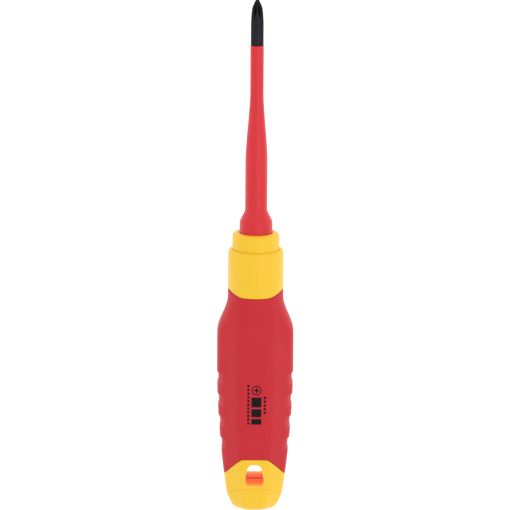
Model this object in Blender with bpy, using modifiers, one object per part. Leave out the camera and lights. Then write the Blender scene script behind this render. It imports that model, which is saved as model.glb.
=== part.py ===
"""Insulated screwdriver with an exchangeable cross-tip blade.

The tool lies on a table: its axis runs along X with the tip towards +X, +Z is up, and the origin
is under the middle of its length, on the table. Each piece is modelled along its own +Z, which a
parent empty lays down along X. A station is a distance along the axis from the handle's rear end.
"""

from math import acos, atan, copysign, cos, pi, radians, sin, sqrt, tan

import bmesh
import bpy
from mathutils import Matrix, Vector

OBJECT_NAME = "insulated_screwdriver"

# --- Overall sizes (metres) -------------------------------------------------------------------
HANDLE_LENGTH = 0.1024  # rear end to the front face of the release sleeve
BLADE_REACH = 0.0860  # front face of the release sleeve to the end of the tip
BELLY_RADIUS = 0.01375  # centre to flat at the thickest stretch of the grip
CAP_RADIUS = 0.01006  # centre to flat at the rear crease of the cap

# --- Clearances -------------------------------------------------------------------------------
CLEARANCE = 0.0003  # between pieces that slide, rest or are moulded on each other
MOULD_GAP = 0.00015  # between the blade and the thin sleeve moulded on it
END_GAP = 0.0004  # past the end of a travel

# --- Blade ------------------------------------------------------------------------------------
TIP_RADIUS = 0.00225
TIP_END_RADIUS = 0.0006
TIP_CONE_LENGTH = 0.0034
TIP_FLUTE_LENGTH = 0.0080
TIP_FLUTE_START = 0.00042  # centre to the bottom of a flute at the end of the tip
BARE_TIP_LENGTH = 0.0171
SLIM_LENGTH = 0.0209
SLIM_RADIUS = 0.0024  # outside the insulation
SLIM_CORE_RADIUS = 0.00175
TAPER_LENGTH = 0.0185
SLEEVED_RADIUS = 0.00398  # outside the insulation
CORE_RADIUS = 0.0025
FLARE_LENGTH = 0.0053
FOOT_RADIUS = 0.0059
FOOT_EXPOSED = 0.0034
FOOT_HIDDEN = 0.0088
HEX_FLATS = 0.0060  # across flats
HEX_LENGTH = 0.0360  # behind the foot
HEX_IN_FOOT = 0.0040
HEX_CHAMFER = 0.0006
LOCK_GROOVE_RADIUS = 0.0024
LOCK_GROOVE_WIDTH = 0.0016

# --- Socket, clip, cam, spring and sleeve -----------------------------------------------------
SOCKET_WALL = 0.00139  # outside the corners of the hexagon
SOCKET_BACK = 0.0070  # solid length behind the thrust disc
DISC_THICKNESS = 0.0015
PIN_RADIUS = 0.00125
CLIP_WIRE_RADIUS = 0.00035
CLIP_GROOVE_DEPTH = 0.0010
CAM_WALL = 0.0015
CAM_LENGTH = 0.0040
CAM_INSERT = 0.0020
CAM_TIGHT_LENGTH = 0.0020
CAM_OPENING = 0.0008  # how much wider the cam's bore is where it lets the clip spread
CLIP_FROM_CAM_REAR = 0.0008
RING_THICKNESS = 0.0010
RING_GROOVE_DEPTH = 0.0007
RING_OVERLAP = 0.0005  # how far the retaining ring stands in front of the cam
RING_SPLIT = radians(50)
SLEEVE_WALL = 0.0012
SLEEVE_EXPOSED = 0.0061
SLEEVE_HIDDEN = 0.0103
SLEEVE_TRAVEL = 0.0030
SLEEVE_ROUNDING = 0.0014
SPRING_WIRE_RADIUS = 0.0004
SPRING_LENGTH = 0.0095
SPRING_TURNS = 5
WASHER_THICKNESS = 0.0008

# --- Handle -----------------------------------------------------------------------------------
COLLAR_WALL = 0.0012
COLLAR_LENGTH = 0.0147  # from its front face to the grip's edge, at the sides
COLLAR_DIP = 0.0018  # how much further back that edge lies on the upper and lower faces
COLLAR_DIP_FROM = 0.55  # share of the half width where the edge starts to curve forward
NECK_WALL = 0.00135  # of the core, under the grip's neck
NECK_LENGTH = 0.0148  # of the grip, from its front edge to the belly
BELLY_LENGTH = 0.0110
TAPER_POWER = 1.86
GRIP_REAR_WALL = 0.0017  # of the grip over the spine, at the sides of the cap's edge
SPINE_SHOULDER_SETBACK = 0.0093  # from the grip's front edge to the shoulder of the spine
CAP_LENGTH_FLAT = 0.0205  # rear end to the grip's rear edge, on the upper and lower faces
CAP_LENGTH_SIDE = 0.0136
CAP_ARCH_FROM = 0.42  # share of the half width where that edge starts to run back
CREASE_FLAT = 0.0090
CREASE_SIDE = 0.0062
ARCH_SOFTNESS = 0.10  # rounding of both edges' corners, as a share of their run
DOME_NARROWING = 0.245  # how far the rear end narrows behind the crease, as a share of its size
DOME_SQUARENESS = 6.0  # power of its rounded corner: 2 is a circle's, more is squarer
CORNER_ROUNDING = 0.40  # fillet of the eight-sided section, as a share of its centre-to-flat size
GROOVE_COUNT = 4
GROOVE_DEPTH = 0.0005
GROOVE_SHARE = 0.5  # of the pitch
GROOVE_FRONT_MARGIN = 0.0049  # first groove's centre behind the belly
GROOVE_REAR_MARGIN = 0.0043  # last groove's centre in front of the cap
GROOVE_FULL_TO = radians(23)  # full depth up to this angle from the sides
GROOVE_ENDS_AT = radians(36)
HOLE_REAR = 0.0105  # rear edge of the hanging hole
HOLE_FRONT_WALL = 0.0019  # between the hole and the grip's edge
HOLE_NARROW_WIDTH = 0.0048
HOLE_WIDE_WIDTH = 0.0074
HOLE_ROUNDING = 0.0014

# --- Fineness ---------------------------------------------------------------------------------
AROUND = 48  # facets around the handle, so that each of its eight sides has six
TURNED_STEPS = 32
SECTOR = radians(45)

# --- Derived radii, from the blade's hexagon outwards -----------------------------------------
HEX_TO_CORNER = 1 / cos(radians(30))
socket_bore_flat = HEX_FLATS / 2 + CLEARANCE
socket_radius = socket_bore_flat * HEX_TO_CORNER + SOCKET_WALL
clip_groove_radius = socket_radius - CLIP_GROOVE_DEPTH
clip_bow_radius = clip_groove_radius + CLEARANCE / 2 + CLIP_WIRE_RADIUS
clip_leg_offset = LOCK_GROOVE_RADIUS + CLEARANCE / 2 + CLIP_WIRE_RADIUS
cam_bore = socket_radius + CLEARANCE
cam_open_bore = cam_bore + CAM_OPENING
cam_radius = cam_bore + CAM_WALL
ring_groove_radius = socket_radius - RING_GROOVE_DEPTH
ring_radius = cam_open_bore + RING_OVERLAP
chamber_radius = cam_radius + CLEARANCE
sleeve_radius = chamber_radius + SLEEVE_WALL
collar_bore = sleeve_radius + CLEARANCE
collar_radius = collar_bore + COLLAR_WALL
neck_core_radius = chamber_radius + NECK_WALL
spring_radius = (socket_radius + chamber_radius) / 2

# --- Derived stations, from the rear end ------------------------------------------------------
total_length = HANDLE_LENGTH + BLADE_REACH
collar_front = HANDLE_LENGTH - SLEEVE_EXPOSED
grip_front_side = collar_front - COLLAR_LENGTH
grip_front_flat = grip_front_side - COLLAR_DIP
belly_front = grip_front_flat - NECK_LENGTH
belly_rear = belly_front - BELLY_LENGTH
spine_shoulder = grip_front_flat - SPINE_SHOULDER_SETBACK
sleeve_rear = collar_front - SLEEVE_HIDDEN
collar_bore_floor = sleeve_rear - SLEEVE_TRAVEL - END_GAP
cam_front = sleeve_rear + CAM_INSERT
cam_rear = cam_front - CAM_LENGTH
clip_station = cam_rear + CLIP_FROM_CAM_REAR
ring_rear = cam_front + CLEARANCE
ring_front = ring_rear + RING_THICKNESS
sleeve_shoulder = ring_front + SLEEVE_TRAVEL + CLEARANCE
foot_rear = HANDLE_LENGTH - FOOT_HIDDEN
socket_front = foot_rear - CLEARANCE
spring_front = cam_rear - CLEARANCE
spring_rear = spring_front - SPRING_LENGTH
washer_front = spring_rear - CLEARANCE
chamber_floor = washer_front - WASHER_THICKNESS - CLEARANCE
hex_end = foot_rear - HEX_LENGTH
disc_front = hex_end - CLEARANCE
socket_floor = disc_front - DISC_THICKNESS - CLEARANCE
socket_rear = socket_floor - SOCKET_BACK
pin_station = socket_rear + SOCKET_BACK / 2
core_bore_floor = socket_rear - CLEARANCE
foot_front = HANDLE_LENGTH + FOOT_EXPOSED
sleeved_rear = foot_front + FLARE_LENGTH
bare_rear = total_length - BARE_TIP_LENGTH
slim_rear = bare_rear - SLIM_LENGTH
sleeved_front = slim_rear - TAPER_LENGTH
grip_half_height = BELLY_RADIUS
hole_front = CAP_LENGTH_FLAT - HOLE_FRONT_WALL


# --- Scene and materials ----------------------------------------------------------------------
def empty_scene():
    for old in list(bpy.data.objects):
        bpy.data.objects.remove(old, do_unlink=True)


def new_collection(name):
    collection = bpy.data.collections.new(name)
    bpy.context.scene.collection.children.link(collection)
    return collection


def plain_material(name, color, roughness, metallic=0.0):
    material = bpy.data.materials.new(name)
    material.use_nodes = True
    shader = material.node_tree.nodes["Principled BSDF"]
    shader.inputs["Base Color"].default_value = (*color, 1.0)
    shader.inputs["Roughness"].default_value = roughness
    shader.inputs["Metallic"].default_value = metallic
    material.diffuse_color = (*color, 1.0)
    return material


empty_scene()
parts = new_collection(OBJECT_NAME)
cutters = new_collection(OBJECT_NAME + "_cutters")

BLACKENED_STEEL = plain_material("blackened_steel", (0.030, 0.028, 0.033), 0.38, 0.9)
BRIGHT_STEEL = plain_material("bright_steel", (0.55, 0.55, 0.56), 0.30, 1.0)
SPRING_STEEL = plain_material("spring_steel", (0.42, 0.42, 0.44), 0.32, 1.0)
RED_INSULATION = plain_material("red_insulation", (0.73, 0.064, 0.075), 0.42)
YELLOW_PLASTIC = plain_material("yellow_plastic", (0.95, 0.60, 0.055), 0.35)
RED_GRIP = plain_material("red_grip", (0.62, 0.045, 0.055), 0.55)


def axis_empty(name):
    """Lies on the tool's axis; what it carries has +Z towards the tip and its station 0 at the rear end."""
    empty = bpy.data.objects.new(name, None)
    empty.location = (-total_length / 2, 0, grip_half_height)
    empty.rotation_euler = (0, pi / 2, 0)
    empty.empty_display_size = 0.01
    parts.objects.link(empty)
    return empty


HANDLE_AXIS = axis_empty("handle_axis")
BLADE_AXIS = axis_empty("blade_axis")
SLEEVE_AXIS = axis_empty("sleeve_axis")


# --- Modelling helpers ------------------------------------------------------------------------
def place(name, data, parent, material, station=0.0):
    """An object of this data on the tool's axis, its origin at the given station."""
    piece = bpy.data.objects.new(name, data)
    piece.parent = parent
    piece.location = (0, 0, station)
    data.materials.append(material)
    parts.objects.link(piece)
    return piece


def as_cutter(piece):
    piece.hide_render = True
    piece.display_type = "WIRE"
    parts.objects.unlink(piece)
    cutters.objects.link(piece)
    return piece


def shade_round(mesh, sharp_angle=radians(35)):
    mesh.shade_smooth()
    mesh.set_sharp_from_angle(angle=sharp_angle)


def mesh_of(name, build):
    """A new mesh that a function of a bmesh fills."""
    shape = bmesh.new()
    build(shape)
    bmesh.ops.recalc_face_normals(shape, faces=shape.faces)
    mesh = bpy.data.meshes.new(name)
    shape.to_mesh(mesh)
    shape.free()
    shade_round(mesh)
    return mesh


def turned(name, profile, parent, material, steps=TURNED_STEPS):
    """A turned piece. The profile's (radius, station) points run down the outside, front to rear.

    A profile that starts and ends on the axis is a solid one, and any other is closed into a ring.
    """
    solid = profile[0][0] == 0
    mesh = bpy.data.meshes.new(name)
    points = [(radius, 0, station) for radius, station in profile]
    edges = [(index, index + 1) for index in range(len(points) - 1)]
    if not solid:
        edges.append((len(points) - 1, 0))
    mesh.from_pydata(points, edges, [])
    piece = place(name, mesh, parent, material)
    screw = piece.modifiers.new("turn", "SCREW")
    screw.axis = "Z"
    screw.steps = steps
    screw.render_steps = steps
    screw.use_merge_vertices = True
    screw.merge_threshold = 0.00001
    return piece


def lofted(name, rings, closed_tube, parent, material):
    """Skin over rings of AROUND points each; the ends are closed, or joined to each other for a tube."""

    def build(shape):
        loops = [[shape.verts.new(point) for point in ring] for ring in rings]
        pairs = list(zip(loops, loops[1:]))
        if closed_tube:
            pairs.append((loops[-1], loops[0]))
        for lower, upper in pairs:
            for index in range(AROUND):
                after = (index + 1) % AROUND
                shape.faces.new((lower[index], lower[after], upper[after], upper[index]))
        if not closed_tube:
            shape.faces.new(loops[0])
            shape.faces.new(loops[-1])

    return place(name, mesh_of(name, build), parent, material)


def cut(piece, cutter, operation="DIFFERENCE"):
    boolean = piece.modifiers.new(cutter.name, "BOOLEAN")
    boolean.operation = operation
    boolean.solver = "EXACT"
    boolean.object = cutter


def block_cutter(name, size, centre, parent, turn=Matrix()):
    def build(shape):
        bmesh.ops.create_cube(shape, size=1.0, matrix=turn @ Matrix.Diagonal((*size, 1)))

    piece = place(name, mesh_of(name, build), parent, BRIGHT_STEEL)
    piece.location = centre
    return as_cutter(piece)


def cross_cylinder(name, radius, length, station, parent, material):
    """A cylinder across the tool, from side to side."""

    def build(shape):
        lie_across = Matrix.Rotation(pi / 2, 4, "X")
        bmesh.ops.create_cone(
            shape, cap_ends=True, segments=TURNED_STEPS, radius1=radius, radius2=radius,
            depth=length, matrix=lie_across,
        )

    return place(name, mesh_of(name, build), parent, material, station)


def wire(name, points, wire_radius, parent, material):
    """A round wire through these points."""
    curve = bpy.data.curves.new(name, "CURVE")
    curve.dimensions = "3D"
    curve.bevel_depth = wire_radius
    curve.bevel_resolution = 2
    curve.use_fill_caps = True
    spline = curve.splines.new("POLY")
    spline.points.add(len(points) - 1)
    for point, place_of_point in zip(spline.points, points):
        point.co = (*place_of_point, 1.0)
    return place(name, curve, parent, material)


def arc(centre, radius, start, end, steps):
    """(radius, station) points along an arc; angle 0 points outwards and 90 degrees forwards."""
    turns = [start + (end - start) * step / steps for step in range(steps + 1)]
    return [(centre[0] + radius * cos(turn), centre[1] + radius * sin(turn)) for turn in turns]


def smooth(share):
    """0 to 1 with level ends."""
    share = min(max(share, 0.0), 1.0)
    return share * share * (3 - 2 * share)


# --- The handle's eight-sided section ---------------------------------------------------------
def eight_sided(angle, roundness):
    """Distance to the outline of a filleted octagon whose flats are 1 from the centre.

    Its flats face along 0, 45, 90... degrees. Roundness 1 gives a circle of radius 1.
    """
    off_flat = abs((angle + SECTOR / 2) % SECTOR - SECTOR / 2)
    fillet = CORNER_ROUNDING + (1 - CORNER_ROUNDING) * roundness
    flat_ends = atan((1 - fillet) * tan(SECTOR / 2))
    if off_flat <= flat_ends:
        return 1 / cos(off_flat)
    fillet_centre = (1 - fillet) / cos(SECTOR / 2)
    off_corner = SECTOR / 2 - off_flat
    return fillet_centre * cos(off_corner) + sqrt(fillet**2 - (fillet_centre * sin(off_corner)) ** 2)


def side_share(angle):
    """0 on the upper and lower centre lines, 1 at the sides: the share of the half width."""
    return abs(sin(angle)) * min(eight_sided(angle, 0.0), 1 / max(abs(sin(angle)), 1e-9))


def past(angle, start):
    """0 up to a share of the half width, then evenly up to 1 at the sides, with the corner rounded."""
    run = (side_share(angle) - start) / (1 - start)
    return (run + sqrt(run * run + ARCH_SOFTNESS * ARCH_SOFTNESS)) / 2


def grip_front_edge(angle):
    return grip_front_flat + COLLAR_DIP * past(angle, COLLAR_DIP_FROM)


def arched(angle, at_flat, at_side):
    """A station that is at_flat on the upper and lower faces and runs back to at_side at the sides."""
    return at_flat + (at_side - at_flat) * past(angle, CAP_ARCH_FROM)


def cap_edge(angle):
    return arched(angle, CAP_LENGTH_FLAT, CAP_LENGTH_SIDE)


def crease(angle):
    return arched(angle, CREASE_FLAT, CREASE_SIDE)


def grip_size(station):
    """Centre to flat of the handle's outside behind the collar, without the finger grooves."""
    if station >= belly_front:
        rise = smooth((grip_front_flat - station) / NECK_LENGTH)
        return collar_radius + (BELLY_RADIUS - collar_radius) * rise
    if station >= belly_rear:
        return BELLY_RADIUS
    fall = (belly_rear - station) / (belly_rear - CREASE_SIDE)
    return BELLY_RADIUS - (BELLY_RADIUS - CAP_RADIUS) * fall**TAPER_POWER


def grip_roundness(station):
    """1 at the round collar, 0 from the belly backwards."""
    return 1 - smooth((grip_front_flat - station) / NECK_LENGTH)


spine_radius = grip_size(CAP_LENGTH_SIDE) - GRIP_REAR_WALL
first_groove = belly_rear - GROOVE_FRONT_MARGIN
last_groove = CAP_LENGTH_FLAT + GROOVE_REAR_MARGIN
groove_pitch = (first_groove - last_groove) / (GROOVE_COUNT - 1)
groove_width = groove_pitch * GROOVE_SHARE


def groove_depth(station, angle):
    """Depth of the finger grooves, which lie across the two sides."""
    nearest = min(abs(station - last_groove - groove_pitch * index) for index in range(GROOVE_COUNT))
    along = max(0.0, cos(pi * min(nearest / groove_width, 0.5)))
    from_side = acos(min(abs(sin(angle)), 1.0))
    across = 1 - smooth((from_side - GROOVE_FULL_TO) / (GROOVE_ENDS_AT - GROOVE_FULL_TO))
    return GROOVE_DEPTH * along * across


def ring_angles():
    """Angle 0 is the upper face and 90 degrees a side."""
    return [2 * pi * index / AROUND for index in range(AROUND)]


def handle_ring(station_at, size_at, roundness_at):
    """A ring of points: each argument gives its value for an angle, and the last two for a station too."""
    ring = []
    for angle in ring_angles():
        station = station_at(angle)
        reach = size_at(station, angle) * eight_sided(angle, roundness_at(station))
        ring.append(Vector((-reach * cos(angle), reach * sin(angle), station)))
    return ring


def outside_ring(station_at):
    return handle_ring(station_at, lambda s, a: grip_size(s) - groove_depth(s, a), grip_roundness)


def plain_ring(station_at, size, roundness=1.0):
    return handle_ring(station_at, lambda s, a: size, lambda s: roundness)


def at(station):
    return lambda angle: station


def between(start_at, end_at, share):
    return lambda angle: start_at(angle) + (end_at(angle) - start_at(angle)) * share


# --- Handle core: collar, spine and end cap ---------------------------------------------------
def dome_ring(share):
    """A ring of the rounded rear end; share is 0 at the rear end and 1 at the crease."""
    left = 1 - share
    narrowed = 1 - DOME_NARROWING * left
    rounded = (1 - left**DOME_SQUARENESS) ** (1 / DOME_SQUARENESS)
    return handle_ring(
        lambda angle: crease(angle) * share,
        lambda s, a: grip_size(crease(a)) * narrowed * rounded,
        lambda s: 0.0,
    )


def handle_core():
    """Yellow hard plastic: the collar and the cap show, and the spine between them is under the grip."""
    rings = [dome_ring(share) for share in (0.0004, 0.012, 0.05, 0.14, 0.30, 0.52, 0.76)]
    rings += [outside_ring(between(crease, cap_edge, share)) for share in (0, 0.34, 0.67, 1)]
    rings.append(plain_ring(cap_edge, spine_radius, 0.0))
    rings.append(plain_ring(at(spine_shoulder), spine_radius, 0.0))
    rings.append(plain_ring(at(spine_shoulder), neck_core_radius))
    rings.append(plain_ring(grip_front_edge, neck_core_radius))
    rings.append(plain_ring(grip_front_edge, collar_radius))
    lip = arc((collar_bore, collar_front - COLLAR_WALL), COLLAR_WALL, 0, pi / 2, 4)
    rings += [plain_ring(at(station), radius) for radius, station in lip]
    rings.append(plain_ring(at(collar_bore_floor), collar_bore))
    rings.append(plain_ring(at(collar_bore_floor), chamber_radius))
    rings.append(plain_ring(at(chamber_floor), chamber_radius))
    rings.append(plain_ring(at(chamber_floor), socket_radius + CLEARANCE))
    rings.append(plain_ring(at(core_bore_floor), socket_radius + CLEARANCE))
    core = lofted("handle_core", rings, False, HANDLE_AXIS, YELLOW_PLASTIC)
    cut(core, hanging_hole_cutter())
    pin_hole = cross_cylinder(
        "core_pin_hole", PIN_RADIUS + CLEARANCE, 3 * spine_radius, pin_station, HANDLE_AXIS, YELLOW_PLASTIC
    )
    cut(core, as_cutter(pin_hole))


def rounded_outline(corners, radius, steps=5):
    """A closed outline through these corners, each rounded with an arc of this radius."""
    outline = []
    for index, corner in enumerate(corners):
        before = (corners[index - 1] - corner).normalized()
        after = (corners[(index + 1) % len(corners)] - corner).normalized()
        half_turn = acos(before.dot(after)) / 2
        centre = corner + (before + after).normalized() * radius / sin(half_turn)
        start = corner + before * radius / tan(half_turn) - centre
        end = corner + after * radius / tan(half_turn) - centre
        sweep = start.angle(end)
        for step in range(steps + 1):
            share = step / steps
            arm = start * sin(sweep * (1 - share)) + end * sin(sweep * share)
            outline.append(centre + arm / sin(sweep))
    return outline


def hanging_hole_cutter():
    """The hanging hole goes through from the upper to the lower face, and widens towards the rear."""
    widest = HOLE_REAR + (hole_front - HOLE_REAR) / 4
    corners = [
        Vector((-HOLE_NARROW_WIDTH / 2, hole_front)),
        Vector((HOLE_NARROW_WIDTH / 2, hole_front)),
        Vector((HOLE_WIDE_WIDTH / 2, widest)),
        Vector((HOLE_WIDE_WIDTH / 4, HOLE_REAR)),
        Vector((-HOLE_WIDE_WIDTH / 4, HOLE_REAR)),
        Vector((-HOLE_WIDE_WIDTH / 2, widest)),
    ]
    outline = rounded_outline(corners, HOLE_ROUNDING, 3)

    def build(shape):
        low = [shape.verts.new((-2 * CAP_RADIUS, across, station)) for across, station in outline]
        face = shape.faces.new(low)
        grown = bmesh.ops.extrude_face_region(shape, geom=[face])["geom"]
        moved = [item for item in grown if isinstance(item, bmesh.types.BMVert)]
        bmesh.ops.translate(shape, verts=moved, vec=(4 * CAP_RADIUS, 0, 0))

    piece = place("hanging_hole_cutter", mesh_of("hanging_hole", build), HANDLE_AXIS, YELLOW_PLASTIC)
    return as_cutter(piece)


# --- Grip -------------------------------------------------------------------------------------
def grip_stations():
    """Stations of the rings between the grip's two edges: three per groove and its ridge, closer in a groove."""
    stations = []
    for index in range(GROOVE_COUNT):
        middle = last_groove + groove_pitch * index
        for share in (-0.55, -0.4, -0.2, 0, 0.2, 0.4, 0.55):
            stations.append(middle + groove_width * share)
    stations += [belly_rear, belly_front]
    stations += [belly_front + NECK_LENGTH * share for share in (0.1, 0.2, 0.32, 0.45, 0.6, 0.75, 0.9)]
    return stations


def grip_cover():
    """Soft red plastic moulded over the spine, flush with the collar in front and the cap behind."""

    def rear_edge(angle):
        return cap_edge(angle) + CLEARANCE

    def front_edge(angle):
        return grip_front_edge(angle) - CLEARANCE

    inner_shoulder = spine_shoulder + copysign(CLEARANCE, spine_radius - neck_core_radius)
    stations = grip_stations()
    rings = [outside_ring(rear_edge)]
    rings.append(outside_ring(between(rear_edge, at(stations[0]), 0.5)))
    rings += [outside_ring(at(station)) for station in stations]
    rings.append(outside_ring(front_edge))
    rings.append(plain_ring(front_edge, neck_core_radius + CLEARANCE))
    rings.append(plain_ring(at(inner_shoulder), neck_core_radius + CLEARANCE))
    rings.append(plain_ring(at(inner_shoulder), spine_radius + CLEARANCE, 0.0))
    rings.append(plain_ring(rear_edge, spine_radius + CLEARANCE, 0.0))
    lofted("grip_cover", rings, True, HANDLE_AXIS, RED_GRIP)


# --- Socket and what holds it -----------------------------------------------------------------
def hex_prism_cutter(name, flats, rear, front, parent):
    """A hexagonal bar with two of its flats facing up and down."""

    def build(shape):
        corner = flats / 2 * HEX_TO_CORNER
        bmesh.ops.create_cone(
            shape, cap_ends=True, segments=6, radius1=corner, radius2=corner, depth=front - rear,
            matrix=Matrix.Translation((0, 0, (front + rear) / 2)),
        )

    return as_cutter(place(name, mesh_of(name, build), parent, BRIGHT_STEEL))


def hex_socket():
    """Steel: drives the blade's hexagon. Grooves outside take the clip and the retaining ring."""
    clip_half = CLIP_WIRE_RADIUS + CLEARANCE
    profile = [
        (0, socket_front),
        (socket_radius, socket_front),
        (socket_radius, ring_front + CLEARANCE / 2),
        (ring_groove_radius, ring_front + CLEARANCE / 2),
        (ring_groove_radius, ring_rear - CLEARANCE / 2),
        (socket_radius, ring_rear - CLEARANCE / 2),
        (socket_radius, clip_station + clip_half),
        (clip_groove_radius, clip_station + clip_half),
        (clip_groove_radius, clip_station - clip_half),
        (socket_radius, clip_station - clip_half),
        (socket_radius, socket_rear),
        (0, socket_rear),
    ]
    socket = turned("hex_socket", profile, HANDLE_AXIS, BRIGHT_STEEL)
    past_front = socket_front + HEX_FLATS
    bore = hex_prism_cutter("socket_bore", 2 * socket_bore_flat, socket_floor, past_front, HANDLE_AXIS)
    cut(socket, bore)
    slot_floor = clip_leg_offset - CLIP_WIRE_RADIUS - CLEARANCE / 2
    slot_depth = socket_radius
    slot_size = (slot_depth, 3 * socket_radius, 2 * clip_half)
    for side, label in ((1, "lower"), (-1, "upper")):
        centre = (side * (slot_floor + slot_depth / 2), 0, clip_station)
        cut(socket, block_cutter(f"{label}_clip_slot", slot_size, centre, HANDLE_AXIS))
    pin_hole = cross_cylinder(
        "socket_pin_hole", PIN_RADIUS + CLEARANCE, 3 * socket_radius, pin_station, HANDLE_AXIS, BRIGHT_STEEL
    )
    cut(socket, as_cutter(pin_hole))


def socket_pin():
    """Ties the socket to the spine, so that it neither turns nor pulls out."""
    length = 2 * (spine_radius - CLEARANCE)
    cross_cylinder("socket_pin", PIN_RADIUS, length, pin_station, HANDLE_AXIS, BRIGHT_STEEL)


def thrust_disc():
    """Hard disc at the bottom of the socket, against which the blade's end pushes."""
    radius = HEX_FLATS / 2
    profile = [(0, disc_front), (radius, disc_front), (radius, disc_front - DISC_THICKNESS)]
    profile.append((0, disc_front - DISC_THICKNESS))
    turned("thrust_disc", profile, HANDLE_AXIS, BRIGHT_STEEL)


def lock_clip():
    """Spring wire: two straight legs lie in the blade's groove, and a bow round one side joins them."""
    leg_reach = sqrt(clip_bow_radius**2 - clip_leg_offset**2)
    open_end = leg_reach * 0.9
    bow_half = pi - acos(leg_reach / clip_bow_radius)
    steps = 12
    points = [(clip_leg_offset, open_end, clip_station), (clip_leg_offset, 0, clip_station)]
    for step in range(steps + 1):
        turn = bow_half + (2 * pi - 2 * bow_half) * step / steps
        across = clip_bow_radius * cos(turn)
        points.append((clip_bow_radius * sin(turn), across, clip_station))
    points += [(-clip_leg_offset, 0, clip_station), (-clip_leg_offset, open_end, clip_station)]
    wire("lock_clip", points, CLIP_WIRE_RADIUS, HANDLE_AXIS, SPRING_STEEL)


def retaining_ring():
    """Split ring in the socket's front groove; the cam rests against it, so the sleeve stays in."""
    inner = ring_groove_radius + CLEARANCE
    outline = []
    steps = TURNED_STEPS
    turns = [RING_SPLIT / 2 + (2 * pi - RING_SPLIT) * step / steps for step in range(steps + 1)]
    outline += [(ring_radius * cos(turn), ring_radius * sin(turn)) for turn in turns]
    outline += [(inner * cos(turn), inner * sin(turn)) for turn in reversed(turns)]

    def build(shape):
        low = [shape.verts.new((x, y, ring_rear)) for x, y in outline]
        face = shape.faces.new(low)
        grown = bmesh.ops.extrude_face_region(shape, geom=[face])["geom"]
        moved = [item for item in grown if isinstance(item, bmesh.types.BMVert)]
        bmesh.ops.translate(shape, verts=moved, vec=(0, 0, RING_THICKNESS))

    place("retaining_ring", mesh_of("retaining_ring", build), HANDLE_AXIS, SPRING_STEEL)


def spring_washer():
    inner = socket_radius + CLEARANCE
    outer = chamber_radius - CLEARANCE
    rear = washer_front - WASHER_THICKNESS
    profile = [(outer, washer_front), (outer, rear), (inner, rear), (inner, washer_front)]
    turned("spring_washer", profile, HANDLE_AXIS, BRIGHT_STEEL)


def sleeve_spring():
    """Compression spring between the washer and the cam, with closed end turns."""
    per_turn = 16
    count = SPRING_TURNS * per_turn
    rear = spring_rear + SPRING_WIRE_RADIUS
    rise = SPRING_LENGTH - 2 * SPRING_WIRE_RADIUS
    points = []
    for step in range(count + 1):
        turn = 2 * pi * step / per_turn
        station = rear + rise * step / count
        points.append((spring_radius * cos(turn), spring_radius * sin(turn), station))
    wire("sleeve_spring", points, SPRING_WIRE_RADIUS, HANDLE_AXIS, SPRING_STEEL)


# --- Release sleeve and its cam ---------------------------------------------------------------
def release_sleeve():
    """Yellow ring in the collar's mouth; the blade's foot slides through it."""
    bore = FOOT_RADIUS + CLEARANCE
    rounded_edge = arc(
        (sleeve_radius - SLEEVE_ROUNDING, HANDLE_LENGTH - SLEEVE_ROUNDING), SLEEVE_ROUNDING, pi / 2, 0, 4
    )
    profile = rounded_edge + [
        (sleeve_radius, sleeve_rear),
        (chamber_radius, sleeve_rear),
        (chamber_radius, sleeve_shoulder),
        (bore, sleeve_shoulder),
        (bore, HANDLE_LENGTH),
    ]
    turned("release_sleeve", profile, SLEEVE_AXIS, YELLOW_PLASTIC, AROUND)


def cam_ring():
    """Steel: its narrow bore holds the clip shut, and its wide bore lets it spread."""
    cone_rear = cam_rear + CAM_TIGHT_LENGTH
    profile = [
        (cam_radius, cam_front),
        (cam_radius, cam_rear),
        (cam_bore, cam_rear),
        (cam_bore, cone_rear),
        (cam_open_bore, cone_rear + CAM_OPENING),
        (cam_open_bore, cam_front),
    ]
    turned("cam_ring", profile, SLEEVE_AXIS, BRIGHT_STEEL)


# --- Blade ------------------------------------------------------------------------------------
def hexagonal(angle):
    """Distance to the outline of a hexagon whose flats are 1 from the centre, two of them up and down."""
    sector = radians(60)
    return 1 / cos((angle + sector / 2) % sector - sector / 2)


def shank_ring(station, size, hexagon=False):
    ring = []
    for angle in ring_angles():
        reach = size * (hexagonal(angle) if hexagon else 1.0)
        ring.append(Vector((-reach * cos(angle), reach * sin(angle), station)))
    return ring


def blade_shank():
    """Hardened steel: a cross tip in front, a slim neck and a core under the sleeve, a hexagon behind."""
    half = HEX_FLATS / 2
    groove_rear = clip_station - LOCK_GROOVE_WIDTH / 2
    groove_front = clip_station + LOCK_GROOVE_WIDTH / 2
    hex_front = foot_rear + HEX_IN_FOOT
    neck_front = bare_rear + MOULD_GAP
    cone_rear = total_length - TIP_CONE_LENGTH
    shoulder_radius = TIP_RADIUS * 0.82
    rings = [
        shank_ring(hex_end, half - HEX_CHAMFER, True),
        shank_ring(hex_end + HEX_CHAMFER, half, True),
        shank_ring(groove_rear, half, True),
        shank_ring(groove_rear, LOCK_GROOVE_RADIUS),
        shank_ring(groove_front, LOCK_GROOVE_RADIUS),
        shank_ring(groove_front, half, True),
        shank_ring(hex_front, half, True),
        shank_ring(hex_front, CORE_RADIUS),
        shank_ring(sleeved_front, CORE_RADIUS),
        shank_ring(slim_rear, SLIM_CORE_RADIUS),
        shank_ring(neck_front, SLIM_CORE_RADIUS),
        shank_ring(neck_front, TIP_RADIUS),
        shank_ring(total_length - TIP_FLUTE_LENGTH, TIP_RADIUS),
        shank_ring(cone_rear, shoulder_radius),
        shank_ring(total_length, TIP_END_RADIUS),
    ]
    shank = lofted("blade_shank", rings, False, BLADE_AXIS, BLACKENED_STEEL)
    for index in range(4):
        cut(shank, flute_cutter(index))


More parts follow.
